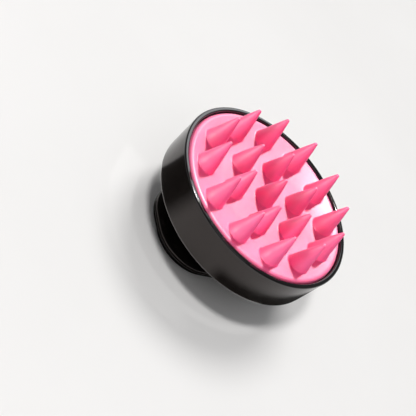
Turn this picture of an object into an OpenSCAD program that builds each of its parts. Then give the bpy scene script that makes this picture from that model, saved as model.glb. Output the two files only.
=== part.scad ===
// Hand-held scalp massager brush.
// A round cup-shaped housing carries a soft pad with nineteen pointed bristles.
// An oblong palm grip on a waisted neck is screwed to the back of the housing.
// The brush stands on the flat of its palm cap with the bristles up.
// Units are millimetres, +Z runs along the bristles, and z = 0 is the palm cap's flat face.

/* [Housing] */
// Outer radius of the housing at its front rim
rim_r = 39; // [38.5:0.1:39.5]
// How much the outer radius shrinks from the front rim to the back edge
taper = 0.9; // [0.4:0.1:1.2]
// Height of the housing from its back face to its front rim
housing_h = 16.3; // [16:0.1:17]
// Width of the flat rim
wall = 1.9; // [1.8:0.1:2.1]
// Radius of the rounded back edge
back_fillet = 0.8; // [0.4:0.1:1.2]
// Radius of the small rounding on both edges of the rim
rim_fillet = 0.6; // [0.2:0.05:0.6]

/* [Pad] */
// How far the pad's flat face lies below the front rim
face_drop = 2.45; // [2:0.05:2.8]
// Thickness of the pad's face
pad_t = 2; // [1.6:0.1:2.2]
// Width of the dark gap between the pad and the rim
pad_gap = 0.35; // [0.2:0.05:0.45]
// Radius at which the face begins to rise gently towards its lip
flat_r = 20; // [20:0.5:29]
// How far the lip stands above the flat face
lip_h = 2.3; // [1.6:0.1:2.6]
// Radius of the lip's rounded outer edge
lip_round = 1.7; // [0.7:0.1:1.8]

/* [Bristles] */
// Number of bristles in the outer ring
outer_n = 12; // [8:1:14]
// Number of bristles in the inner ring
inner_n = 6; // [4:1:8]
// Radius of the outer ring of bristles
outer_ring_r = 28.55; // [27.5:0.05:29]
// Radius of the inner ring of bristles
inner_ring_r = 15.4; // [14:0.1:16]
// Angle of the first outer bristle from the grip's long axis
outer_turn = 15; // [0:1:30]
// Angle of the first inner bristle from the grip's long axis
inner_turn = 0; // [0:1:60]
// Height of an outer bristle
outer_h = 15.7; // [12:0.1:18]
// Height of an inner bristle
inner_h = 13.2; // [10:0.1:16]
// Height of the middle bristle
middle_h = 13; // [10:0.1:16]
// Radius of a bristle at its base
bristle_r = 4.3; // [3.6:0.1:4.6]
// Radius of a bristle's rounded tip
tip_r = 0.75; // [0.5:0.05:1]

/* [Grip] */
// Length of the palm grip
grip_len = 57.8; // [56:0.2:62]
// Width of the palm grip
grip_w = 38.8; // [37:0.2:40]
// Corner radius of the palm grip's outline
grip_corner = 16.6; // [15:0.1:18]
// Height of the palm cap, from its flat face to the joint line
cap_h = 3.75; // [3.5:0.05:4.5]
// Clear height from the joint line to the housing's back face
reach = 14.9; // [14:0.1:17]
// How far the neck is drawn in from the grip's outline at its waist
waist_in = 10.3; // [9.6:0.1:10.6]
// How far the palm cap's flat face is drawn in from the grip's outline
cap_in = 5.2; // [4:0.1:6.5]

/* [Hidden] */
$fn = 96;

// heights
back_z = cap_h + reach;
rim_z = back_z + housing_h;
face_z = rim_z - face_drop;
floor_t = 2.2;
floor_z = back_z + floor_t;

// housing inside
bore_r = rim_r - wall;
ledge_r = bore_r - 1.3;
ledge_z = back_z + 4.95;
recess_d = 1.2;
boss_z = floor_z + 1.6;

// pad unit, from the face down
pad_r = bore_r - pad_gap;
carrier_top = face_z - pad_t;
carrier_t = 2.3;
carrier_z = carrier_top - carrier_t;
carrier_r = pad_r - 1.8;
flange_t = 1.2;
flange_r = carrier_r - 2.3;
ring_top = carrier_z - flange_t;
ring_r = bore_r - 0.15;
seal_sec = 0.95;
seal_r = bore_r - 0.05 - seal_sec;
seal_z = (ring_top + ledge_z) / 2;

// fasteners and locating posts
post_n = 4;
post_r = 2.5;
post_ring_r = 20;
post_top = carrier_z - 0.6;
rscrew_n = 6;
rscrew_ring_r = 29.6;
rscrew_turn = 30;
hscrew_x = 12;

// grip outline and its feet
ga = grip_len / 2;
gb = grip_w / 2;
foot_in = waist_in - 2.7;
foot_top = back_z + 0.4;
waist_z = back_z - 4.2;
rim_top_z = cap_h + 1.35;

// points on an arc, centre (cx, cy)
function arc(cx, cy, r, a0, a1, n) =
    [for (i = [0:n]) let (a = a0 + (a1 - a0) * i / n) [cx + r * cos(a), cy + r * sin(a)]];

// half profile [inset, z] of the outside of the neck and flange, bottom to top
function grip_profile() = concat(
    [[0, cap_h], [0, rim_top_z - 0.55]],
    [for (i = [1:4]) let (a = 90 * i / 4) [0.55 - 0.55 * cos(a), rim_top_z - 0.55 + 0.55 * sin(a)]],
    [for (i = [1:12]) let (a = 90 * i / 12)
        [0.9 + (waist_in - 0.9) * sin(a), waist_z - (waist_z - rim_top_z) * cos(a)]],
    [for (i = [1:8]) let (a = 90 * i / 8)
        [waist_in - 2.7 * (1 - cos(a)), waist_z + (back_z - waist_z) * sin(a)]],
    [[foot_in, foot_top]]);

// half profile [inset, z] of the palm cap, bottom to top
function cap_profile() = concat(
    [for (i = [0:8]) let (a = 90 * i / 8) [cap_in * (1 - sin(a)), cap_h * (1 - cos(a))]]);

// half profile [inset, z] of the pocket on the palm side of the grip
function pocket_profile() =
    [[2.4, cap_h - 1], [2.4, cap_h + 0.2], [5, cap_h + 0.55], [8.2, cap_h + 1.85], [10.6, cap_h + 4.2]];

// Rounded-rectangle solid with half sizes a and b and corner radius r,
// whose edge follows a profile of [inset, z] points from bottom to top.
module pillow(a, b, r, prof) {
    n = len(prof);
    for (sx = [-1, 1], sy = [-1, 1])
        translate([sx * (a - r), sy * (b - r), 0])
            rotate_extrude()
                polygon(concat([[0, prof[0][1]]],
                               [for (p = prof) [max(r - p[0], 0), p[1]]],
                               [[0, prof[n - 1][1]]]));
    // along X
    rotate([90, 0, 90]) linear_extrude(2 * (a - r), center = true)
        polygon(concat([for (p = prof) [b - p[0], p[1]]],
                       [for (i = [n - 1:-1:0]) [-(b - prof[i][0]), prof[i][1]]]));
    // along Y
    rotate([90, 0, 0]) linear_extrude(2 * (b - r), center = true)
        polygon(concat([for (p = prof) [a - p[0], p[1]]],
                       [for (i = [n - 1:-1:0]) [-(a - prof[i][0]), prof[i][1]]]));
}

// Rounded-rectangle plate with half sizes a and b and corner radius r, from z0 to z1
module plate(a, b, r, z0, z1) {
    translate([0, 0, z0]) linear_extrude(z1 - z0) union() {
        square([2 * a, 2 * (b - r)], center = true);
        square([2 * (a - r), 2 * b], center = true);
        for (sx = [-1, 1], sy = [-1, 1])
            translate([sx * (a - r), sy * (b - r)]) circle(r);
    }
}

module at_posts() {
    for (i = [0:post_n - 1])
        rotate([0, 0, 45 + 360 * i / post_n]) translate([post_ring_r, 0, 0]) children();
}

module at_rscrews() {
    for (i = [0:rscrew_n - 1])
        rotate([0, 0, rscrew_turn + 360 * i / rscrew_n]) translate([rscrew_ring_r, 0, 0]) children();
}

module at_hscrews() {
    for (s = [-1, 1]) translate([s * hscrew_x, 0, 0]) children();
}

// Black cup with a ledge for the pad unit, locating posts and a boss for the handle screws
module housing() {
    br = rim_r - taper;
    color([0.07, 0.065, 0.065]) difference() {
        union() {
            rotate_extrude()
                polygon(concat(
                    [[0, back_z]],
                    arc(br - back_fillet, back_z + back_fillet, back_fillet, -90, 0, 6),
                    arc(rim_r - rim_fillet, rim_z - rim_fillet, rim_fillet, 0, 90, 4),
                    arc(bore_r + rim_fillet, rim_z - rim_fillet, rim_fillet, 90, 180, 4),
                    [[bore_r, ledge_z], [ledge_r, ledge_z]],
                    [[ledge_r, floor_z + 1]],
                    [[ledge_r - 1, floor_z], [0, floor_z]]));
            plate(ga - foot_in + 1.8, gb - foot_in + 1.8, grip_corner - foot_in + 1.8,
                  floor_z - 0.5, boss_z);
            at_posts() translate([0, 0, floor_z - 0.5]) cylinder(h = post_top - floor_z + 0.5, r = post_r);
        }
        // seat for the grip's foot and its gasket
        plate(ga - foot_in + 0.1, gb - foot_in + 0.1, grip_corner - foot_in + 0.1,
              back_z - 1, back_z + recess_d);
        // clearance holes for the handle screws
        at_hscrews() translate([0, 0, back_z - 1]) cylinder(h = boss_z - back_z + 2, r = 1.7);
    }
}

// Neck and flange of the grip, open on the palm side
module grip_body() {
    color([0.05, 0.05, 0.05]) difference() {
        union() {
            difference() {
                pillow(ga, gb, grip_corner, grip_profile());
                pillow(ga, gb, grip_corner, pocket_profile());
            }
            // sockets for the cap's pegs
            at_hscrews() translate([0, 0, cap_h + 0.3]) cylinder(h = 6, r = 3);
        }
        at_hscrews() translate([0, 0, cap_h - 1]) cylinder(h = 6.5, r = 1.65);
        // pilot holes for the handle screws
        at_hscrews() translate([0, 0, cap_h + 6.6]) cylinder(h = foot_top - cap_h, r = 1.47);
    }
}

// Rounded palm cap with a flat face, two pegs and a thin wall
module palm_cap() {
    color([0.06, 0.06, 0.06]) {
        difference() {
            pillow(ga, gb, grip_corner, cap_profile());
            pillow(ga, gb, grip_corner,
                   [[cap_in + 1.6, 1.7], [3.4, 2.3], [2.4, cap_h - 0.6], [2.4, cap_h + 1]]);
        }
        at_hscrews() translate([0, 0, 1.5]) cylinder(h = cap_h + 3.2, r = 1.6);
        at_hscrews() translate([0, 0, 1.5]) cylinder(h = cap_h - 1.4, r = 3);
    }
}

// Flat seal between the grip's foot and the housing
module neck_gasket() {
    color([0.15, 0.15, 0.15]) difference() {
        plate(ga - foot_in, gb - foot_in, grip_corner - foot_in, foot_top, back_z + recess_d);
        at_hscrews() translate([0, 0, back_z - 1]) cylinder(h = 4, r = 1.7);
    }
}

// Two pan-head screws, driven from inside the housing down into the neck
module handle_screws() {
    color([0.75, 0.76, 0.78]) at_hscrews() difference() {
        union() {
            translate([0, 0, cap_h + 7.6]) cylinder(h = boss_z - cap_h - 7.6 + 0.5, r = 1.45);
            translate([0, 0, boss_z]) rotate_extrude()
                polygon(concat([[0, 0], [2.8, 0], [2.8, 0.9]], arc(1.7, 0.9, 1.1, 0, 90, 5), [[0, 2]]));
        }
        for (a = [0, 90]) rotate([0, 0, a])
            translate([0, 0, boss_z + 1.6]) cube([2.6, 0.6, 1.6], center = true);
    }
}

// Soft pad: face flat in the middle and gently dished outside, raised lip,
// and a skirt turned in under the carrier. The outer bristles stand in pockets of their own shape.
module bristle_pad() {
    lip_z = face_z + lip_h;
    lip_c = pad_r - lip_round;
    r1 = lip_c + lip_round * cos(102);
    z1 = lip_h - lip_round + lip_round * sin(102);
    color([0.93, 0.33, 0.52]) difference() {
        rotate_extrude()
            polygon(concat(
                [[0, carrier_top], [carrier_r + 0.05, carrier_top], [carrier_r + 0.05, carrier_z],
                 [flange_r, carrier_z], [flange_r, ring_top], [pad_r, ring_top]],
                arc(lip_c, lip_z - lip_round, lip_round, 0, 102, 10),
                // gentle rise from the flat middle to the lip
                [for (i = [1:10]) let (t = 1 - i / 10)
                    [flat_r + (r1 - flat_r) * t, face_z + z1 * pow(t, 1.5)]],
                [[0, face_z]]));
        outer_bristles();
    }
}

// One bristle of height h, standing on the face
module bristle(h) {
    m = 10;
    rotate_extrude($fn = 48)
        polygon(concat([[0, 0], [bristle_r, 0]],
            [for (i = [1:m]) let (t = i / m, z = (h - tip_r) * t)
                [tip_r + (bristle_r - tip_r) * (1 - pow(t, 1.24)), z]],
            arc(0, h - tip_r, tip_r, 15, 90, 4)));
}

module outer_bristles() {
    translate([0, 0, face_z]) for (i = [0:outer_n - 1])
        rotate([0, 0, outer_turn + 360 * i / outer_n]) translate([outer_ring_r, 0, 0]) bristle(outer_h);
}

// The bristles, moulded in one with the pad
module bristles() {
    color([0.93, 0.24, 0.45]) outer_bristles();
    color([0.93, 0.24, 0.45]) translate([0, 0, face_z]) {
        for (i = [0:inner_n - 1]) rotate([0, 0, inner_turn + 360 * i / inner_n])
            translate([inner_ring_r, 0, 0]) bristle(inner_h);
        bristle(middle_h);
    }
}

// Stiff ribbed plate behind the pad, with sockets that slide over the housing's posts
module pad_carrier() {
    rib_z = carrier_z - 2.6;
    color([0.85, 0.85, 0.84]) difference() {
        union() {
            translate([0, 0, carrier_z]) cylinder(h = carrier_t, r = carrier_r);
            // step that the retainer ring is screwed to
            rotate_extrude() polygon([[27.3, ring_top], [flange_r - 0.1, ring_top],
                [flange_r - 0.1, carrier_z + 0.5], [27.3, carrier_z + 0.5]]);
            for (a = [0:90:270]) rotate([0, 0, a])
                translate([5.5, -0.8, rib_z]) cube([21.3, 1.6, 3]);
            difference() {
                translate([0, 0, rib_z]) cylinder(h = 3, r = 7);
                translate([0, 0, rib_z - 1]) cylinder(h = 3.6, r = 5.4);
            }
            at_posts() translate([0, 0, carrier_z - 5]) cylinder(h = 5.5, r = 4);
        }
        at_posts() translate([0, 0, carrier_z - 6]) cylinder(h = 6.4, r = post_r + 0.08);
        at_rscrews() translate([0, 0, ring_top - 1]) cylinder(h = 4, r = 0.97);
    }
}

// Ring that clamps the pad's flange and carries the seal in a groove
module retainer_ring() {
    color([0.82, 0.82, 0.81]) difference() {
        rotate_extrude() polygon([
            [27, ledge_z], [ring_r, ledge_z], [ring_r, seal_z - 1],
            [seal_r - seal_sec - 0.05, seal_z - 1], [seal_r - seal_sec - 0.05, seal_z + 1],
            [ring_r, seal_z + 1], [ring_r, ring_top], [27, ring_top]]);
        at_rscrews() translate([0, 0, ledge_z - 1]) cylinder(h = 8, r = 1.15);
    }
}

// Six small screws that hold the retainer ring to the carrier
module retainer_screws() {
    color([0.75, 0.76, 0.78]) at_rscrews() difference() {
        union() {
            translate([0, 0, ledge_z - 0.5]) cylinder(h = ring_top + 2.4 - ledge_z + 0.5, r = 0.95);
            translate([0, 0, ledge_z - 1.2]) cylinder(h = 1.2, r = 1.9);
        }
        for (a = [0, 90]) rotate([0, 0, a])
            translate([0, 0, ledge_z - 1.2]) cube([1.9, 0.45, 1], center = true);
    }
}

// Round-section seal between the pad unit and the housing's bore
module seal_ring() {
    color([0.12, 0.12, 0.12]) translate([0, 0, seal_z])
        rotate_extrude() translate([seal_r, 0]) circle(seal_sec, $fn = 32);
}

housing();
grip_body();
palm_cap();
neck_gasket();
handle_screws();
bristle_pad();
bristles();
pad_carrier();
retainer_ring();
retainer_screws();
seal_ring();
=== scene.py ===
import math

import bmesh
import bpy
import numpy as np
from mathutils import Matrix, Vector, geometry


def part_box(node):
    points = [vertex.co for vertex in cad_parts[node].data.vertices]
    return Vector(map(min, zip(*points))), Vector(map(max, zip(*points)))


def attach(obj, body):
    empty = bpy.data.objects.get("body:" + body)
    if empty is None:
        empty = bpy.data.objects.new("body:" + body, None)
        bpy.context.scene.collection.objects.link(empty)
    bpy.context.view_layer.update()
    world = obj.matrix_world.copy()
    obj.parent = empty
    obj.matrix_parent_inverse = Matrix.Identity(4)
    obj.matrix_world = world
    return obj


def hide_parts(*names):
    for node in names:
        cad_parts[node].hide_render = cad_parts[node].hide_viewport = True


bpy.ops.wm.read_factory_settings(use_empty=True)
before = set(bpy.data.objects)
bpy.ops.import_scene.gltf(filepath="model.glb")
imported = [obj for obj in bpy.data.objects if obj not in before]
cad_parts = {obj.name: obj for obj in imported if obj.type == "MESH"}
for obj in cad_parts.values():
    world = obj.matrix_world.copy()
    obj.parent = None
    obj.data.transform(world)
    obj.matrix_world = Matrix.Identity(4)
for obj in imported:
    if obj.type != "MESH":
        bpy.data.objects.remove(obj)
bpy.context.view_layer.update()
MM = 0.001
scene = bpy.context.scene

# ---------------------------------------------------------------- sizes, in millimetres
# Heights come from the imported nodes; radii that the nodes' boxes give come from there too.
h_lo, h_hi = [v * 1000 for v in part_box("housing")]
p_lo, p_hi = [v * 1000 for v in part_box("bristle_pad")]
b_lo, b_hi = [v * 1000 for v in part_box("bristles")]
g_lo, g_hi = [v * 1000 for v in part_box("grip_body")]
c_lo, c_hi = [v * 1000 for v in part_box("palm_cap")]
back_z, rim_z, rim_r = h_lo.z, h_hi.z, h_hi.x
face_z, tip_z = b_lo.z, b_hi.z
ring_top, lip_z, pad_r = p_lo.z, p_hi.z, p_hi.x
ga, gb, cap_h = g_hi.x, g_hi.y, g_lo.z
foot_top = g_hi.z
wall, taper = 1.9, 0.9
bore_r = rim_r - wall
back_r = rim_r - taper
ledge_r, ledge_z = bore_r - 1.3, back_z + 4.95
floor_z, boss_z = back_z + 2.2, back_z + 3.8
corner, waist_in, foot_in = 16.6, 10.3, 7.6
waist_z, rim_top_z = back_z - 4.2, cap_h + 1.35
carrier_top = face_z - 2.0
carrier_z, carrier_r = carrier_top - 2.3, pad_r - 1.8
flange_r = carrier_r - 2.3
flat_r, dish_power, lip_round, lip_turn = 20.0, 1.5, 1.7, 102
lip_c = pad_r - lip_round
dish_r = lip_c + lip_round * math.cos(math.radians(lip_turn))         # where the dish meets the lip
dish_h = lip_z - face_z - lip_round * (1 - math.sin(math.radians(lip_turn)))


# ---------------------------------------------------------------- mesh helpers
def make(name, verts, faces, sharp=34.0, weighted=True):
    me = bpy.data.meshes.new(name)
    me.from_pydata([tuple(v) for v in verts], [], [tuple(f) for f in faces])
    me.validate()
    bm = bmesh.new()
    bm.from_mesh(me)
    bmesh.ops.remove_doubles(bm, verts=bm.verts, dist=1e-7)
    bmesh.ops.recalc_face_normals(bm, faces=bm.faces)
    bm.to_mesh(me)
    bm.free()
    o = bpy.data.objects.new(name, me)
    scene.collection.objects.link(o)
    finish_shading(o, sharp, weighted)
    return o


def finish_shading(o, sharp=34.0, weighted=True):
    me = o.data
    me.polygons.foreach_set("use_smooth", [True] * len(me.polygons))
    me.set_sharp_from_angle(angle=math.radians(sharp))
    me.update()
    if weighted and "wn" not in o.modifiers:
        m = o.modifiers.new("wn", "WEIGHTED_NORMAL")
        m.keep_sharp = True
        m.weight = 60


def arc(cx, cy, r, a0, a1, n):
    return [(cx + r * math.cos(math.radians(a0 + (a1 - a0) * i / n)),
             cy + r * math.sin(math.radians(a0 + (a1 - a0) * i / n))) for i in range(n + 1)]


def lathe_data(prof, seg=256, closed=False):
    """Rings of a turned shape. prof is a list of (radius, z) in mm; points on the axis become poles."""
    verts, rings = [], []
    for r, z in prof:
        if r < 1e-6:
            rings.append([len(verts)])
            verts.append((0, 0, z * MM))
        else:
            k = len(verts)
            rings.append(list(range(k, k + seg)))
            for i in range(seg):
                a = 2 * math.pi * i / seg
                verts.append((r * math.cos(a) * MM, r * math.sin(a) * MM, z * MM))
    faces = []
    pairs = list(zip(rings, rings[1:])) + ([(rings[-1], rings[0])] if closed else [])
    for a, b in pairs:
        if len(a) == 1 and len(b) == 1:
            continue
        for i in range(seg):
            j = (i + 1) % seg
            if len(a) == 1:
                faces.append((a[0], b[i], b[j]))
            elif len(b) == 1:
                faces.append((a[i], a[j], b[0]))
            else:
                faces.append((a[i], a[j], b[j], b[i]))
    return verts, faces


def cylinder(name, x, y, r, z0, z1, seg=64):
    v, f = lathe_data([(0, z0), (r, z0), (r, z1), (0, z1)], seg)
    v = [(p[0] + x * MM, p[1] + y * MM, p[2]) for p in v]
    return make(name, v, f, weighted=False)


def outline(a, b, r, n=20):
    """Rounded rectangle with half sizes a and b: the same number of points whatever its size."""
    pts = []
    for k, (sx, sy) in enumerate(((1, 1), (-1, 1), (-1, -1), (1, -1))):
        for i in range(n + 1):
            t = math.radians(90 * (k + i / n))
            pts.append((sx * (a - r) + r * math.cos(t), sy * (b - r) + r * math.sin(t)))
    out = []
    for i, p in enumerate(pts):           # extra points along the straight sides
        q = pts[(i + 1) % len(pts)]
        out.append(p)
        if (i + 1) % (n + 1) == 0:
            m = 14 if (i // (n + 1)) % 2 == 0 else 6
            out += [(p[0] + (q[0] - p[0]) * j / m, p[1] + (q[1] - p[1]) * j / m) for j in range(1, m)]
    return out


def loft_data(prof, a=None, b=None, r=None, close=True):
    """Rings of rounded rectangles drawn in from the grip's outline by prof's [inset, z]."""
    a, b, r = a or ga, b or gb, r or corner
    verts, rings = [], []
    for u, z in prof:
        ring = outline(a - u, b - u, max(r - u, 0.3))
        rings.append(list(range(len(verts), len(verts) + len(ring))))
        verts += [(x * MM, y * MM, z * MM) for x, y in ring]
    faces = []
    n = len(rings[0])
    for p, q in zip(rings, rings[1:]):
        for i in range(n):
            j = (i + 1) % n
            faces.append((p[i], p[j], q[j], q[i]))
    if close:
        faces.append(tuple(reversed(rings[0])))
        faces.append(tuple(rings[-1]))
    return verts, faces


def boolean(o, other, how):
    m = o.modifiers.new("b", "BOOLEAN")
    m.operation, m.solver, m.object = how, "EXACT", other
    dg = bpy.context.evaluated_depsgraph_get()
    dg.update()
    me = bpy.data.meshes.new_from_object(o.evaluated_get(dg), depsgraph=dg)
    o.modifiers.remove(m)
    old = o.data
    o.data = me
    bpy.data.meshes.remove(old)
    bpy.data.objects.remove(other)
    return o


def tidy(o, sharp=34.0):
    """After booleans: weld, drop slivers, and shade again."""
    for m in list(o.modifiers):
        o.modifiers.remove(m)
    bm = bmesh.new()
    bm.from_mesh(o.data)
    bmesh.ops.remove_doubles(bm, verts=bm.verts, dist=2e-6)
    bmesh.ops.dissolve_degenerate(bm, edges=bm.edges, dist=1e-6)
    bmesh.ops.recalc_face_normals(bm, faces=bm.faces)
    bm.to_mesh(o.data)
    bm.free()
    finish_shading(o, sharp)
    return o


# ---------------------------------------------------------------- material helpers
def material(name):
    m = bpy.data.materials.new(name)
    m.use_nodes = True
    nt = m.node_tree
    nt.nodes.clear()
    out = nt.nodes.new("ShaderNodeOutputMaterial")
    bsdf = nt.nodes.new("ShaderNodeBsdfPrincipled")
    nt.links.new(bsdf.outputs[0], out.inputs[0])
    tc = nt.nodes.new("ShaderNodeTexCoord")
    return m, nt, bsdf, tc


def noise(nt, tc, scale, detail=3.0, rough=0.5, stretch=None):
    n = nt.nodes.new("ShaderNodeTexNoise")
    n.inputs["Scale"].default_value = scale
    n.inputs["Detail"].default_value = detail
    n.inputs["Roughness"].default_value = rough
    if stretch:
        mp = nt.nodes.new("ShaderNodeMapping")
        mp.inputs["Scale"].default_value = stretch
        nt.links.new(tc.outputs["Object"], mp.inputs[0])
        nt.links.new(mp.outputs[0], n.inputs["Vector"])
    else:
        nt.links.new(tc.outputs["Object"], n.inputs["Vector"])
    return n


def remap(nt, src, lo, hi, f0=0.3, f1=0.7):
    r = nt.nodes.new("ShaderNodeMapRange")
    r.inputs["From Min"].default_value = f0
    r.inputs["From Max"].default_value = f1
    r.inputs["To Min"].default_value = lo
    r.inputs["To Max"].default_value = hi
    nt.links.new(src, r.inputs["Value"])
    return r.outputs["Result"]


def mix_colour(nt, fac, a, b):
    m = nt.nodes.new("ShaderNodeMix")
    m.data_type = "RGBA"
    m.inputs["A"].default_value = (*a, 1)
    m.inputs["B"].default_value = (*b, 1)
    nt.links.new(fac, m.inputs["Factor"])
    return m.outputs["Result"]


def bump(nt, bsdf, height, strength, distance):
    b = nt.nodes.new("ShaderNodeBump")
    b.inputs["Strength"].default_value = strength
    b.inputs["Distance"].default_value = distance
    nt.links.new(height, b.inputs["Height"])
    nt.links.new(b.outputs[0], bsdf.inputs["Normal"])
    return b


def put(o, mat):
    o.data.materials.clear()
    o.data.materials.append(mat)


# glossy black moulded plastic: soft waviness from the mould, faint haze and dust
def black_plastic(name, base, rough, warm=(1.0, 0.88, 0.85)):
    m, nt, s, tc = material(name)
    tint = noise(nt, tc, 60, 4)
    nt.links.new(mix_colour(nt, remap(nt, tint.outputs["Fac"], 0, 1),
                            base, tuple(c * 1.5 + 0.001 for c in base)), s.inputs["Base Color"])
    haze = noise(nt, tc, 240, 6, 0.65)
    nt.links.new(remap(nt, haze.outputs["Fac"], rough, rough * 1.5, 0.35, 0.75), s.inputs["Roughness"])
    s.inputs["IOR"].default_value = 1.5
    s.inputs["Specular Tint"].default_value = (*warm, 1)
    wave = noise(nt, tc, 90, 2)
    bump(nt, s, wave.outputs["Fac"], 0.10, 0.0006)
    return m


# satin silicone: light enters it, fine moulded tooth, slight cloudiness; the flat face gets a colour of its own,
# painted sheen that stands in for the pale look the lamps' sheen gives the face
def silicone(name, bristle, bristle_deep, face, rough):
    m, nt, s, tc = material(name)
    cloud = noise(nt, tc, 70, 4)
    side = mix_colour(nt, remap(nt, cloud.outputs["Fac"], 0, 1), bristle, bristle_deep)
    sep = nt.nodes.new("ShaderNodeSeparateXYZ")
    nt.links.new(tc.outputs["Object"], sep.inputs[0])
    flat = nt.nodes.new("ShaderNodeVectorMath")
    flat.operation = "MULTIPLY"
    flat.inputs[1].default_value = (1, 1, 0)
    nt.links.new(tc.outputs["Object"], flat.inputs[0])
    span = nt.nodes.new("ShaderNodeVectorMath")
    span.operation = "LENGTH"
    nt.links.new(flat.outputs["Vector"], span.inputs[0])
    run = remap(nt, span.outputs["Value"], 0.0, 1.0, flat_r * MM, dish_r * MM)
    power = nt.nodes.new("ShaderNodeMath")
    power.operation = "POWER"
    nt.links.new(run, power.inputs[0])
    power.inputs[1].default_value = dish_power
    rise = remap(nt, power.outputs[0], 0.0, dish_h * MM, 0.0, 1.0)
    above = nt.nodes.new("ShaderNodeMath")
    above.operation = "SUBTRACT"
    nt.links.new(sep.outputs["Z"], above.inputs[0])
    nt.links.new(rise, above.inputs[1])
    # painted sheen: the face colour weighs 1 on the face and dish and fades out 0.9 mm above them
    low = remap(nt, above.outputs[0], 1.0, 0.0, face_z * MM, (face_z + 0.9) * MM)
    mix = nt.nodes.new("ShaderNodeMix")
    mix.data_type = "RGBA"
    nt.links.new(low, mix.inputs["Factor"])
    nt.links.new(side, mix.inputs["A"])
    mix.inputs["B"].default_value = (*face, 1)
    nt.links.new(mix.outputs["Result"], s.inputs["Base Color"])
    fine = noise(nt, tc, 900, 5, 0.6)
    nt.links.new(remap(nt, fine.outputs["Fac"], rough * 0.92, rough * 1.1), s.inputs["Roughness"])
    s.inputs["IOR"].default_value = 1.5
    s.inputs["Specular IOR Level"].default_value = 0.6
    s.inputs["Coat Weight"].default_value = 0.2
    s.inputs["Coat Roughness"].default_value = 0.3
    s.inputs["Subsurface Weight"].default_value = 0.25
    s.inputs["Subsurface Radius"].default_value = (1.0, 0.22, 0.35)
    s.inputs["Subsurface Scale"].default_value = 0.0012
    tooth = noise(nt, tc, 2600, 3, 0.6)
    bump(nt, s, tooth.outputs["Fac"], 0.12, 0.00008)
    return m


def plain_plastic(name, a, b, rough):
    m, nt, s, tc = material(name)
    n1 = noise(nt, tc, 120, 5)
    nt.links.new(mix_colour(nt, remap(nt, n1.outputs["Fac"], 0, 1), a, b), s.inputs["Base Color"])
    n2 = noise(nt, tc, 1600, 4)
    nt.links.new(remap(nt, n2.outputs["Fac"], rough * 0.85, rough * 1.15), s.inputs["Roughness"])
    bump(nt, s, n2.outputs["Fac"], 0.2, 0.00006)
    return m


def rubber(name):
    m, nt, s, tc = material(name)
    n1 = noise(nt, tc, 800, 5, 0.6)
    nt.links.new(mix_colour(nt, remap(nt, n1.outputs["Fac"], 0, 1), (0.012, 0.012, 0.013), (0.03, 0.03, 0.031)),
                 s.inputs["Base Color"])
    nt.links.new(remap(nt, n1.outputs["Fac"], 0.5, 0.7), s.inputs["Roughness"])
    bump(nt, s, n1.outputs["Fac"], 0.2, 0.00006)
    return m


def steel(name):
    m, nt, s, tc = material(name)
    n1 = noise(nt, tc, 700, 4, 0.6, stretch=(1, 1, 12))
    nt.links.new(mix_colour(nt, remap(nt, n1.outputs["Fac"], 0, 1), (0.50, 0.50, 0.52), (0.68, 0.68, 0.70)),
                 s.inputs["Base Color"])
    s.inputs["Metallic"].default_value = 1.0
    nt.links.new(remap(nt, n1.outputs["Fac"], 0.18, 0.34), s.inputs["Roughness"])
    bump(nt, s, n1.outputs["Fac"], 0.15, 0.00004)
    return m


M_HOUSING = black_plastic("housing_black", (0.0060, 0.0046, 0.0040), 0.12)
M_RIM = black_plastic("rim_black", (0.0030, 0.0025, 0.0024), 0.09, (1.0, 0.96, 0.98))
M_GRIP = black_plastic("grip_black", (0.0036, 0.0030, 0.0026), 0.15)
# the third colour of pad_pink is the face's painted sheen colour
M_PAD = silicone("pad_pink", (0.88, 0.088, 0.276), (0.84, 0.080, 0.256), (0.93, 0.074, 0.262), 0.70)
M_CARRIER = plain_plastic("carrier_white", (0.74, 0.73, 0.70), (0.66, 0.65, 0.62), 0.42)
M_SEAL = rubber("seal_black")
M_STEEL = steel("screw_steel")


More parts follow.
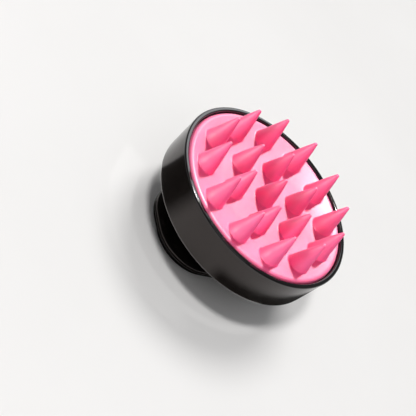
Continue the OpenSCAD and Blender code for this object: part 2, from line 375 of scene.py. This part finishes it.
# ---------------------------------------------------------------- housing
def build_housing():
    bf, rf = 0.8, 0.6
    tilt = math.degrees(math.atan(taper / (rim_z - back_z)))
    prof = [(0, back_z), (back_r - bf - 6, back_z), (back_r - bf - 0.3, back_z)]
    prof += arc(back_r - bf, back_z + bf, bf, -90, tilt, 8)
    ts = (rim_z - 1.0 - back_z) / (rim_z - back_z)
    prof += [(back_r + taper * t, back_z + (rim_z - back_z) * t) for t in (0.1, 0.35, 0.65, ts)]
    prof += [(bore_r, rim_z - 1.0), (bore_r, ledge_z + 0.1), (bore_r, ledge_z), (ledge_r, ledge_z),
             (ledge_r, floor_z + 1), (ledge_r - 0.3, floor_z + 0.3), (ledge_r - 1, floor_z), (0, floor_z)]
    v, f = lathe_data(prof, 256)
    o = make("housing_shell", v, f)
    o.modifiers.clear()
    boss = make("t", *loft_data([(0, floor_z - 0.4), (0, boss_z - 0.3), (0.3, boss_z)],
                                ga - foot_in + 1.8, gb - foot_in + 1.8, corner - foot_in + 1.8), weighted=False)
    boolean(o, boss, "UNION")
    for k in range(4):
        a = math.radians(45 + 90 * k)
        v, f = lathe_data([(0, floor_z - 0.4), (2.5, floor_z - 0.4), (2.5, carrier_z - 1.0),
                           (2.1, carrier_z - 0.6), (0, carrier_z - 0.6)], 48)
        v = [(p[0] + 20 * MM * math.cos(a), p[1] + 20 * MM * math.sin(a), p[2]) for p in v]
        boolean(o, make("t", v, f, weighted=False), "UNION")
    seat = make("t", *loft_data([(0, back_z - 1), (0, back_z + 1.2)],
                                ga - foot_in + 0.1, gb - foot_in + 0.1, corner - foot_in + 0.1), weighted=False)
    boolean(o, seat, "DIFFERENCE")
    for s in (-1, 1):
        boolean(o, cylinder("t", 12 * s, 0, 1.7, back_z - 1, boss_z + 1), "DIFFERENCE")
    tidy(o)
    # the rim: the top millimetre of the cup, with both edges rounded
    band = [(back_r + taper * ts, rim_z - 1.0)] + arc(rim_r - rf, rim_z - rf, rf, 0, 90, 12)
    band += arc(bore_r + rf, rim_z - rf, rf, 90, 180, 10) + [(bore_r, rim_z - 1.0)]
    rim = make("housing_rim", *lathe_data(band, 256, closed=True))
    for piece, mat in ((o, M_HOUSING), (rim, M_RIM)):
        put(piece, mat)
        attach(piece, "handle")
        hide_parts("housing")
    return o, rim


# ---------------------------------------------------------------- grip
def build_grip():
    e = 0.22
    prof = [(e, cap_h)] + [(e - e * math.sin(math.radians(a)), cap_h + e - e * math.cos(math.radians(a)))
                           for a in (30, 60, 90)]
    prof += [(0, rim_top_z - 0.55)]
    prof += [(0.55 - 0.55 * math.cos(math.radians(a)), rim_top_z - 0.55 + 0.55 * math.sin(math.radians(a)))
             for a in (15, 30, 45, 60, 75, 90)]
    prof += [(0.9 + (waist_in - 0.9) * math.sin(math.radians(a)),
              waist_z - (waist_z - rim_top_z) * math.cos(math.radians(a))) for a in range(3, 91, 3)]
    prof += [(waist_in - (waist_in - foot_in) * (1 - math.cos(math.radians(a))),
              waist_z + (back_z - waist_z) * math.sin(math.radians(a))) for a in range(5, 91, 5)]
    prof += [(foot_in, foot_top)]
    o = make("grip_neck", *loft_data(prof))
    o.modifiers.clear()
    pocket = make("t", *loft_data([(2.4, cap_h - 1), (2.4, cap_h + 0.2), (5, cap_h + 0.55),
                                   (8.2, cap_h + 1.85), (10.6, cap_h + 4.2)]), weighted=False)
    boolean(o, pocket, "DIFFERENCE")
    for s in (-1, 1):
        boolean(o, cylinder("t", 12 * s, 0, 3, cap_h + 0.3, cap_h + 6.3), "UNION")
    for s in (-1, 1):
        boolean(o, cylinder("t", 12 * s, 0, 1.65, cap_h - 1, cap_h + 5.5), "DIFFERENCE")
        boolean(o, cylinder("t", 12 * s, 0, 1.47, cap_h + 6.6, foot_top + 1), "DIFFERENCE")
    tidy(o)
    put(o, M_GRIP)
    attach(o, "handle")
    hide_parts("grip_body")

    e, cin = 0.22, 5.2
    prof = [(cin * (1 - math.sin(math.radians(a))), (cap_h - e) * (1 - math.cos(math.radians(a))))
            for a in range(0, 91, 5)]
    prof += [(e - e * math.cos(math.radians(a)), cap_h - e + e * math.sin(math.radians(a))) for a in (30, 60, 90)]
    c = make("palm_shell", *loft_data(prof))
    c.modifiers.clear()
    hollow = make("t", *loft_data([(cin + 1.6, 1.7), (3.4, 2.3), (2.4, cap_h - 0.6), (2.4, cap_h + 1)]),
                  weighted=False)
    boolean(c, hollow, "DIFFERENCE")
    for s in (-1, 1):
        boolean(c, cylinder("t", 12 * s, 0, 3, 1.5, cap_h + 0.1), "UNION")
        boolean(c, cylinder("t", 12 * s, 0, 1.6, 1.6, cap_h + 4.7), "UNION")
    tidy(c)
    put(c, M_GRIP)
    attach(c, "handle")
    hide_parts("palm_cap")
    return o, c


# ---------------------------------------------------------------- silicone pad and bristles, one moulding
def bristle_profile(h, rb=4.3, rt=0.75, fil=0.55):
    """From the tip down to a small fillet that runs out flat on the face; (radius, height) in mm."""
    pts = [(0, h)]
    pts += [(rt * math.sin(math.radians(a)), h - rt + rt * math.cos(math.radians(a))) for a in (18, 36, 54, 72)]
    side = []
    for i in range(0, 23):
        t = 1 - i / 22
        side.append((rt + (rb - rt) * (1 - t ** 1.24), (h - rt) * t))
    side = [p for p in side if p[1] > fil * 0.9]
    pts += side
    # fillet: tangent to the side at its foot and to the face
    x0, z0 = side[-1]
    x1 = rb + fil
    for i in range(1, 7):
        t = i / 6
        s = 1 - t
        cx, cz = x0 + (rb - x0) * 0.9, 0.0
        pts.append((s * s * x0 + 2 * s * t * cx + t * t * x1, s * s * z0 + 2 * s * t * cz))
    return pts


def dish(r):
    """Height of the pad's face above its flat middle at radius r."""
    return dish_h * max(0.0, min(1.0, (r - flat_r) / (dish_r - flat_r))) ** dish_power


def build_pad():
    seg = 256
    # body of the pad, from just inside the lip outward, down and round to the middle of the underside
    r0, r1 = dish_r - 0.8, dish_r
    prof = [(r0 + (r1 - r0) * t, face_z + dish(r0 + (r1 - r0) * t)) for t in (0, 0.33, 0.66)]
    prof += arc(lip_c, lip_z - lip_round, lip_round, lip_turn, 0, 18)
    prof += [(pad_r, lip_z - 2.2), (pad_r, ring_top + 0.2), (pad_r - 0.2, ring_top), (flange_r + 0.15, ring_top),
             (flange_r, ring_top + 0.15), (flange_r, carrier_z), (carrier_r + 0.05, carrier_z),
             (carrier_r + 0.05, carrier_top), (0, carrier_top)]
    verts, faces = lathe_data(prof, seg)
    rim_ring = [verts[i] for i in range(seg)]          # the face's outer edge
    # the bristles; near its foot each one follows the dish
    spots = [(28.55 * math.cos(math.radians(15 + 30 * k)), 28.55 * math.sin(math.radians(15 + 30 * k)), tip_z - face_z)
             for k in range(12)]
    spots += [(15.4 * math.cos(math.radians(60 * k)), 15.4 * math.sin(math.radians(60 * k)), 13.2)
              for k in range(6)]
    spots += [(0, 0, 13.0)]
    n = 72
    holes = []
    for x, y, h in spots:
        bp = bristle_profile(h)
        v, f = lathe_data([(r, face_z + z) for r, z in bp], n)
        k = len(verts)
        moved = []
        for p in v:
            px, py, up = p[0] + x * MM, p[1] + y * MM, p[2] / MM - face_z
            t = max(0.0, 1 - up / 6.0)
            rise = dish(math.hypot(px, py) / MM) * t * t * (3 - 2 * t)
            moved.append((px, py, p[2] + rise * MM))
        verts += moved
        faces += [tuple(i + k for i in face) for face in f]
        holes.append((x, y, bp[-1][0], moved[-n:]))
    # the face between them
    pts = [Vector((p[0], p[1])) * 1000 for p in rim_ring]
    height = [p[2] for p in rim_ring]
    edges = [(i, (i + 1) % seg) for i in range(seg)]
    for x, y, r, ring in holes:
        k = len(pts)
        pts += [Vector((p[0], p[1])) * 1000 for p in ring]
        height += [p[2] for p in ring]
        edges += [(k + i, k + (i + 1) % n) for i in range(n)]
    # lattice: rings of points on the dish, a loose grid on the flat
    def clear(x, y, gap):
        return all(math.hypot(x - hx, y - hy) > hr + gap for hx, hy, hr, _ in holes)
    r = flat_r - 1.0
    while r < r0 - 0.5:
        m = int(2 * math.pi * r / 1.0)
        for i in range(m):
            a = 2 * math.pi * (i + 0.5 * (int(r * 10) % 2)) / m
            x, y = r * math.cos(a), r * math.sin(a)
            if clear(x, y, 0.45):
                pts.append(Vector((x, y)))
        r += 0.75
    step = 2.0
    for i in range(-14, 15):
        for j in range(-16, 17):
            x, y = (i + 0.5 * (j % 2)) * step, j * step * 0.866
            if math.hypot(x, y) < flat_r - 2.0 and clear(x, y, 0.9):
                pts.append(Vector((x, y)))
    cv, ce, cf, source = geometry.delaunay_2d_cdt(pts, edges, [], 0, 1e-5)[:4]
    k = len(verts)
    for p, src in zip(cv, source):
        known = [height[i] for i in src if i < len(height)]
        z = known[0] if known else (face_z + dish(math.hypot(p.x, p.y))) * MM
        verts.append((p.x * MM, p.y * MM, z))
    for t in cf:
        c = sum((cv[i] for i in t), Vector((0, 0))) / len(t)
        if any(math.hypot(c.x - hx, c.y - hy) < hr * 0.9995 and
               all(math.hypot(cv[i].x - hx, cv[i].y - hy) < hr + 1e-3 for i in t) for hx, hy, hr, _ in holes):
            continue
        faces.append(tuple(i + k for i in t))
    o = make("silicone_pad", verts, faces, sharp=50)
    put(o, M_PAD)
    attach(o, "pad_unit")
    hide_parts("bristle_pad", "bristles")
    return o


cup, rim_band = build_housing()
build_grip()
silicone_pad = build_pad()

for node, mat in (("pad_carrier", M_CARRIER), ("retainer_ring", M_CARRIER), ("retainer_screws", M_STEEL),
                  ("handle_screws", M_STEEL), ("seal_ring", M_SEAL), ("neck_gasket", M_SEAL)):
    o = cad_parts[node]
    put(o, mat)
    finish_shading(o, 30)

# ---------------------------------------------------------------- camera
# The object's axes as the camera sees them: one row each for the camera's right, down and forward.
VIEW = np.array([[0.755553, -0.198223, 0.624378],
                 [0.189935, -0.845893, -0.498387],
                 [0.626949, 0.495149, -0.601467]])
U, _, V = np.linalg.svd(VIEW)
VIEW = U @ V
OFFSET = np.array([0.607, 12.405, 429.796]) * MM      # the origin's place in the camera's axes

cam_data = bpy.data.cameras.new("camera")
cam = bpy.data.objects.new("camera", cam_data)
scene.collection.objects.link(cam)
scene.camera = cam
cam_data.sensor_width = 36
cam_data.lens = 1100.4 / 416 * 36
cam_data.clip_start, cam_data.clip_end = 0.02, 20
place = -VIEW.T @ OFFSET
turn = Matrix([[VIEW[0][i], -VIEW[1][i], -VIEW[2][i]] for i in range(3)])
cam.matrix_world = Matrix.Translation(Vector(place)) @ turn.to_4x4()


def seen(x, y, z):
    """A direction given in the camera's right, down and forward axes, as a row-frame vector."""
    return Vector(VIEW.T @ np.array([x, y, z], float)).normalized()


# ---------------------------------------------------------------- floor and light
def build_floor():
    v, f = lathe_data([(0, 0), (60, 0), (150, 0), (400, 0), (1200, 0), (4000, 0), (9000, 0)], 96)
    o = make("floor", v, f, weighted=False)
    m, nt, s, tc = material("floor_pale")
    n1 = noise(nt, tc, 9, 4)
    nt.links.new(mix_colour(nt, remap(nt, n1.outputs["Fac"], 0, 1), (0.80, 0.793, 0.783), (0.83, 0.823, 0.815)),
                 s.inputs["Base Color"])
    s.inputs["Roughness"].default_value = 0.6
    s.inputs["Specular IOR Level"].default_value = 0.2
    put(o, m)
    return o


floor = build_floor()


def dark_reflection_card(name, a0, a1, r0, r1, soft, z=0.06):
    """A dark sheet flat on the floor that only reflections see, a painted dark reflection: it darkens what the glossy
    parts mirror of the floor near the brush. It is a sector between two angles.
    r1 is its outer radius at each end; soft is how far its two ends (degrees) and outer edge (mm) fade."""
    n, k = 72, 16
    verts, faces, dark_at = [], [], []
    for i in range(n + 1):
        a = a0 + (a1 - a0) * i / n
        far = r1[0] + (r1[1] - r1[0]) * i / n
        for j in range(k + 1):
            r = r0 + (far - r0) * j / k
            verts.append((r * math.cos(math.radians(a)) * MM, r * math.sin(math.radians(a)) * MM, z * MM))
            level = 1.0
            for gap, width in ((a - a0, soft[0]), (a1 - a, soft[1]), (far - r, soft[2])):
                t = max(0.0, min(1.0, gap / width))
                level *= t * t * (3 - 2 * t)
            dark_at.append(level)
    for i in range(n):
        for j in range(k):
            p = i * (k + 1) + j
            faces.append((p, p + k + 1, p + k + 2, p + 1))
    me = bpy.data.meshes.new(name)
    me.from_pydata(verts, [], faces)
    att = me.attributes.new("dark", "FLOAT", "POINT")
    att.data.foreach_set("value", dark_at)
    o = bpy.data.objects.new(name, me)
    scene.collection.objects.link(o)
    m = bpy.data.materials.new(name)
    m.use_nodes = True
    nt = m.node_tree
    nt.nodes.clear()
    out = nt.nodes.new("ShaderNodeOutputMaterial")
    mixer = nt.nodes.new("ShaderNodeMixShader")
    clear = nt.nodes.new("ShaderNodeBsdfTransparent")
    dark = nt.nodes.new("ShaderNodeBsdfDiffuse")
    tc = nt.nodes.new("ShaderNodeTexCoord")
    n1 = noise(nt, tc, 40, 3)
    nt.links.new(mix_colour(nt, n1.outputs["Fac"], (0.02, 0.019, 0.018), (0.05, 0.048, 0.046)), dark.inputs["Color"])
    at = nt.nodes.new("ShaderNodeAttribute")
    at.attribute_name = "dark"
    nt.links.new(at.outputs["Fac"], mixer.inputs[0])
    nt.links.new(clear.outputs[0], mixer.inputs[1])
    nt.links.new(dark.outputs[0], mixer.inputs[2])
    nt.links.new(mixer.outputs[0], out.inputs[0])
    put(o, m)
    o.visible_camera = o.visible_diffuse = o.visible_shadow = o.visible_transmission = False
    return o


def painted_highlight_arc(name, r0, r1, a0, a1, level):
    """A bright emitting arc on the floor under the brush, no lamp, that only reflections see: a painted highlight that
    draws the back edge's light line.
    """
    verts, faces = [], []
    for i in range(61):
        a = math.radians(a0 + (a1 - a0) * i / 60)
        verts += [(r * math.cos(a) * MM, r * math.sin(a) * MM, 0.08 * MM) for r in (r0, r1)]
    for i in range(60):
        faces.append((2 * i, 2 * i + 2, 2 * i + 3, 2 * i + 1))
    o = make(name, verts, faces, weighted=False)
    m = bpy.data.materials.new(name)
    m.use_nodes = True
    nt = m.node_tree
    nt.nodes.clear()
    out = nt.nodes.new("ShaderNodeOutputMaterial")
    em = nt.nodes.new("ShaderNodeEmission")
    tc = nt.nodes.new("ShaderNodeTexCoord")
    n1 = noise(nt, tc, 25, 2)
    nt.links.new(mix_colour(nt, n1.outputs["Fac"], (1, 0.98, 0.96), (0.9, 0.89, 0.88)), em.inputs["Color"])
    em.inputs["Strength"].default_value = level
    nt.links.new(em.outputs[0], out.inputs[0])
    put(o, m)
    o.visible_camera = o.visible_diffuse = o.visible_shadow = o.visible_transmission = False
    return o


# painted highlight: an emitting arc that only reflections see, drawing the back edge's light line
painted_highlight_arc("back_edge_painted_highlight", 37, 49, 130, 290, 2.2)
# painted dark reflections: dark sheets that only the glossy black parts mirror
dark_reflection_card("painted_dark_reflection_left", 135, 192, 48, (110, 110), (4, 22, 8))
dark_reflection_card("painted_dark_reflection_low", -128, -8, 40.5, (66, 60.3), (14, 6, 5))


# painted dark reflection under the grip's flange
dark_reflection_card("painted_dark_reflection_grip", 150, 285, 14, (36.4, 36.4), (4, 4, 0.5), 0.05)


def area(name, direction, distance, size, power, colour=(1, 1, 1), target=(0, 0, 0.03), size_y=None):
    d = bpy.data.lights.new(name, "AREA")
    d.shape = "RECTANGLE" if size_y else "DISK"
    d.size = size
    if size_y:
        d.size_y = size_y
    d.energy = power
    d.color = colour
    o = bpy.data.objects.new(name, d)
    o.location = Vector(target) + direction * distance
    o.rotation_mode = "QUATERNION"
    o.rotation_quaternion = direction.to_track_quat("Z", "Y")
    scene.collection.objects.link(o)
    return o


def links(light, name, objects, state):
    """The light reaches only these objects (INCLUDE), or everything but them (EXCLUDE)."""
    c = bpy.data.collections.new(name)
    for o in objects:
        c.objects.link(o)
    for e in c.collection_objects:
        e.light_linking.link_state = state
    light.light_linking.receiver_collection = c


def toward(az, el):
    a, e = math.radians(az), math.radians(el)
    return Vector((math.cos(e) * math.cos(a), math.cos(e) * math.sin(a), math.sin(e)))


key = area("key", seen(0.676, -0.732, -0.082), 1.6, 0.09, 21.5, (1.0, 0.985, 0.97))
links(key, "not_the_floor", [floor], "EXCLUDE")
# low broad lights from the left and from below in the picture, on the sides of the bristles
for name, way, wide, power in (("left", toward(177, 11), 0.45, 13), ("low", toward(246, 9), 0.9, 12.5)):
    o = area(name, way, 1.5, wide, power, (1.0, 0.97, 0.94), size_y=0.9)
    links(o, name + "_on", [silicone_pad], "INCLUDE")
# three more that add to the silicone's sheen and not to its colour: with the key, with the
# left light, and low from behind, where they also draw the light edges of the bristles
for name, way, far, wide, high, power in (("sheen_key", seen(0.676, -0.732, -0.082), 1.6, 0.09, 0.09, 90),
                                          ("sheen_left", toward(174, 15), 1.5, 0.70, 1.0, 74),
                                          ("sheen_back", toward(37, 20), 1.5, 1.1, 0.6, 9)):
    o = area(name, way, far, wide, power, (1.0, 0.985, 0.98), size_y=high)
    o.visible_diffuse = False
    links(o, name + "_on", [silicone_pad], "INCLUDE")
# a small softbox that the back of the rim mirrors
box = area("box", seen(0.62, -0.72, 0.31), 1.3, 0.42, 1.8, (0.95, 0.97, 1.0), size_y=0.42)
links(box, "not_the_floor_c", [floor], "EXCLUDE")
# the floor has its own softer lamps, so that the brush's shadow stays as light as a studio table's
side = area("floor_side", toward(-165, 64), 1.6, 0.22, 12.0, (1.0, 0.99, 0.985), target=(0, 0, 0))
links(side, "floor_only_a", [floor], "INCLUDE")
soft = area("floor_soft", toward(60, 62), 1.6, 0.75, 12.0, (1.0, 0.99, 0.98), target=(0, 0, 0))
links(soft, "floor_only_b", [floor], "INCLUDE")
fill = area("fill", Vector((-0.35, -0.5, 0.8)).normalized(), 1.5, 1.2, 3, (0.98, 0.99, 1.0))

world = bpy.data.worlds.new("world")
scene.world = world
world.use_nodes = True
wn = world.node_tree
wn.nodes.clear()
wo = wn.nodes.new("ShaderNodeOutputWorld")
bg = wn.nodes.new("ShaderNodeBackground")
wn.links.new(bg.outputs[0], wo.inputs[0])
tcw = wn.nodes.new("ShaderNodeTexCoord")
sep = wn.nodes.new("ShaderNodeSeparateXYZ")
wn.links.new(tcw.outputs["Generated"], sep.inputs[0])
ramp = wn.nodes.new("ShaderNodeValToRGB")
ramp.color_ramp.elements[0].position = 0.5
ramp.color_ramp.elements[0].color = (1.0, 0.995, 0.99, 1)
ramp.color_ramp.elements[1].position = 0.95
ramp.color_ramp.elements[1].color = (0.20, 0.203, 0.21, 1)
e = ramp.color_ramp.elements.new(0.64)
e.color = (0.85, 0.85, 0.855, 1)
e = ramp.color_ramp.elements.new(0.74)
e.color = (0.22, 0.223, 0.23, 1)
mr = wn.nodes.new("ShaderNodeMapRange")
mr.inputs["From Min"].default_value = -1
wn.links.new(sep.outputs["Z"], mr.inputs["Value"])
wn.links.new(mr.outputs["Result"], ramp.inputs["Fac"])
near = wn.nodes.new("ShaderNodeValToRGB")
near.color_ramp.elements[0].position = 0.5
near.color_ramp.elements[0].color = (0.26, 0.258, 0.255, 1)
near.color_ramp.elements[1].position = 0.95
near.color_ramp.elements[1].color = (0.20, 0.203, 0.21, 1)
wn.links.new(mr.outputs["Result"], near.inputs["Fac"])
# the low sky is bright behind the brush, as seen from the camera, and dim on the camera's side
ahead = wn.nodes.new("ShaderNodeVectorMath")
ahead.operation = "DOT_PRODUCT"
ahead.inputs[1].default_value = (math.cos(math.radians(38)), math.sin(math.radians(38)), 0)
wn.links.new(tcw.outputs["Generated"], ahead.inputs[0])
side_of = wn.nodes.new("ShaderNodeMapRange")
side_of.interpolation_type = "SMOOTHSTEP"
side_of.inputs["From Min"].default_value = -0.25
side_of.inputs["From Max"].default_value = 0.55
wn.links.new(ahead.outputs["Value"], side_of.inputs["Value"])
sky = wn.nodes.new("ShaderNodeMix")
sky.data_type = "RGBA"
wn.links.new(side_of.outputs["Result"], sky.inputs["Factor"])
wn.links.new(near.outputs["Color"], sky.inputs["A"])
wn.links.new(ramp.outputs["Color"], sky.inputs["B"])
wn.links.new(sky.outputs["Result"], bg.inputs["Color"])
bg.inputs["Strength"].default_value = 0.85

scene.view_settings.view_transform = "Standard"
scene.view_settings.exposure = 0.0
